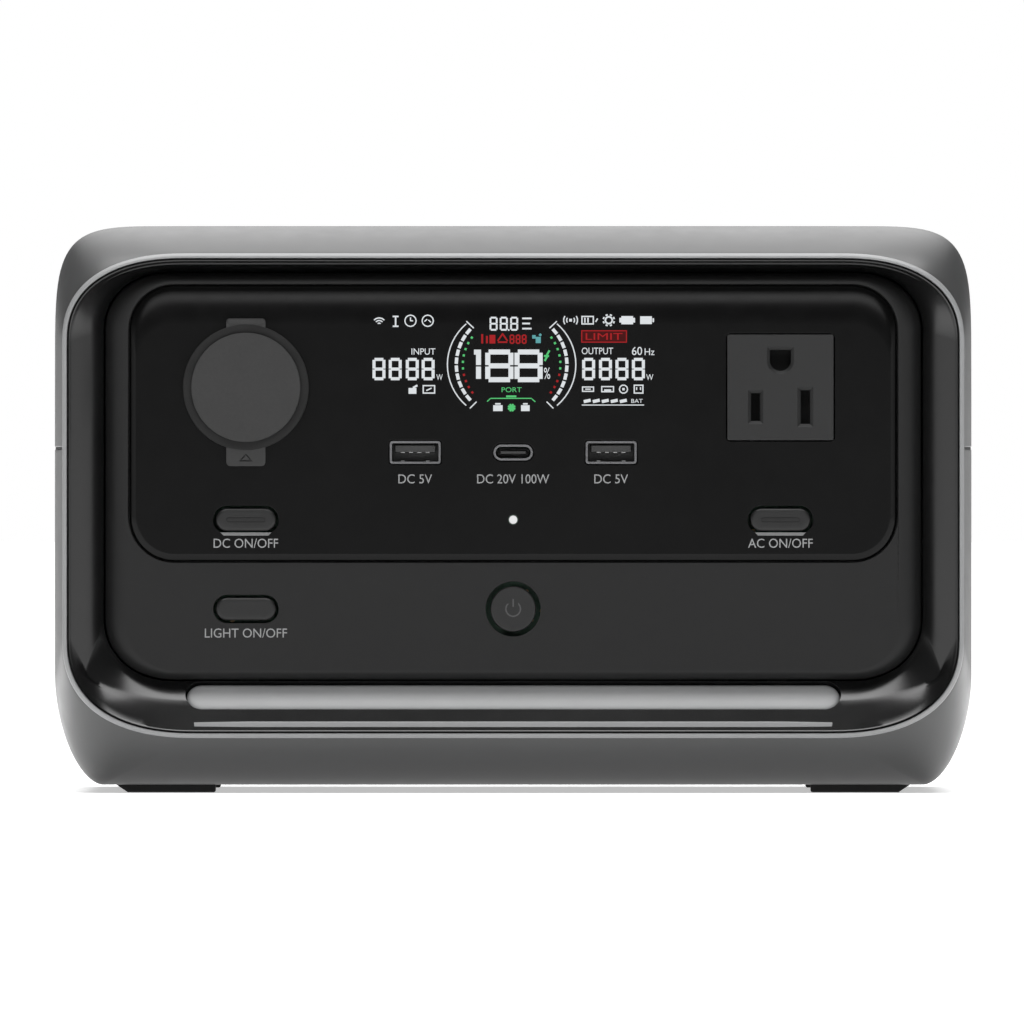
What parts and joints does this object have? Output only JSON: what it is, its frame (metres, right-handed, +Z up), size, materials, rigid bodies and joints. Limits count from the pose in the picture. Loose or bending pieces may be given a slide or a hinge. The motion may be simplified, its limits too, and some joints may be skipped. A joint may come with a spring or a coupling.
{
  "type": "portable power station",
  "caption": "Portable battery power station with a recessed front panel of sockets and buttons, a display, a light bar and a rear carry handle.",
  "frame": {"origin": "centre of the bounding box on the floor under the feet", "axes": "+X to the right seen from the front, +Y to the back, +Z up; the front panel faces -Y"},
  "size_m": [0.2346, 0.232, 0.145],
  "materials": {
    "case_grey": "fine matte texture",
    "bezel_black": "satin gloss",
    "faceplate_black": "high gloss",
    "panel_grey": "matte",
    "key_grey": "matte",
    "rubber_grey": "soft matte",
    "lens_white": "frosted",
    "light_white": "matte",
    "port_steel": "satin",
    "contact_brass": "satin",
    "heatsink_aluminium": "as extruded",
    "board_green": "solder mask",
    "cell_wrap": "shrink wrap",
    "holder_black": "matte",
    "transformer_core": "varnished",
    "fan_black": "matte"
  },
  "bodies": {
    "case": {"upper_shell": "case_grey", "lower_shell": "case_grey", "foot_front_left": "rubber_grey", "foot_front_right": "rubber_grey", "foot_rear_left": "rubber_grey", "foot_rear_right": "rubber_grey", "front_bezel": "bezel_black", "light_bar_lens": "lens_white", "light_bar_board": "light_white", "front_panel": "panel_grey", "faceplate": "faceplate_black", "display_module": "faceplate_black", "car_socket_barrel": "port_steel", "car_socket_contact": "contact_brass", "ac_outlet_front": "key_grey", "outlet_neutral_contact": "contact_brass", "outlet_line_contact": "contact_brass", "outlet_ground_contact": "contact_brass", "usb_a_shell_left": "port_steel", "usb_a_tongue_left": "light_white", "usb_a_shell_right": "port_steel", "usb_a_tongue_right": "light_white", "usb_c_shell": "port_steel", "usb_c_tongue": "holder_black", "status_light_pipe": "light_white", "control_board": "board_green", "battery_cell_1": "cell_wrap", "battery_cell_2": "cell_wrap", "battery_cell_3": "cell_wrap", "battery_cell_4": "cell_wrap", "battery_cell_5": "cell_wrap", "battery_cell_6": "cell_wrap", "battery_cell_7": "cell_wrap", "cell_holder_left": "holder_black", "cell_holder_right": "holder_black", "battery_board": "board_green", "inverter_board": "board_green", "heatsink": "heatsink_aluminium", "transformer": "transformer_core", "capacitor_left": "holder_black", "capacitor_right": "holder_black", "side_vent_left": "fan_black", "side_vent_right": "fan_black", "fan_frame": "fan_black", "rear_cover": "case_grey", "ac_outlet_rear_left": "key_grey", "ac_outlet_rear_right": "key_grey", "ac_inlet": "holder_black", "solar_inlet": "holder_black", "flap_hinge_pin": "port_steel", "carry_handle": "case_grey", "handle_grip": "rubber_grey"},
    "car_port_cover": {"car_port_cover": "rubber_grey"},
    "dc_button": {"dc_button": "key_grey"},
    "ac_button": {"ac_button": "key_grey"},
    "light_button": {"light_button": "key_grey"},
    "power_button": {"power_button": "key_grey"},
    "fan_rotor": {"fan_rotor": "fan_black"},
    "port_flap": {"port_flap": "rubber_grey"}
  },
  "joints": [
    {"name": "car_port_cover_hinge", "type": "hinge", "parent": "case", "child": "car_port_cover", "pos_m": [-0.0682, -0.1142, 0.1203], "axis": [-1, 0, 0], "range_deg": [0, 115]},
    {"name": "dc_button_press", "type": "slide", "parent": "case", "child": "dc_button", "axis": [0, 1, 0], "range_m": [0, 0.001], "stiffness_N_per_m": 300, "springref_m": -0.001},
    {"name": "ac_button_press", "type": "slide", "parent": "case", "child": "ac_button", "axis": [0, 1, 0], "range_m": [0, 0.001], "stiffness_N_per_m": 300, "springref_m": -0.001},
    {"name": "light_button_press", "type": "slide", "parent": "case", "child": "light_button", "axis": [0, 1, 0], "range_m": [0, 0.001], "stiffness_N_per_m": 300, "springref_m": -0.001},
    {"name": "power_button_press", "type": "slide", "parent": "case", "child": "power_button", "axis": [0, 1, 0], "range_m": [0, 0.001], "stiffness_N_per_m": 300, "springref_m": -0.001},
    {"name": "fan_spin", "type": "hinge", "parent": "case", "child": "fan_rotor", "pos_m": [0.105, -0.01, 0.055], "axis": [1, 0, 0], "continuous": true},
    {"name": "port_flap_hinge", "type": "hinge", "parent": "case", "child": "port_flap", "pos_m": [0, 0.0713, 0.065], "axis": [1, 0, 0], "range_deg": [0, 110]}
  ]
}
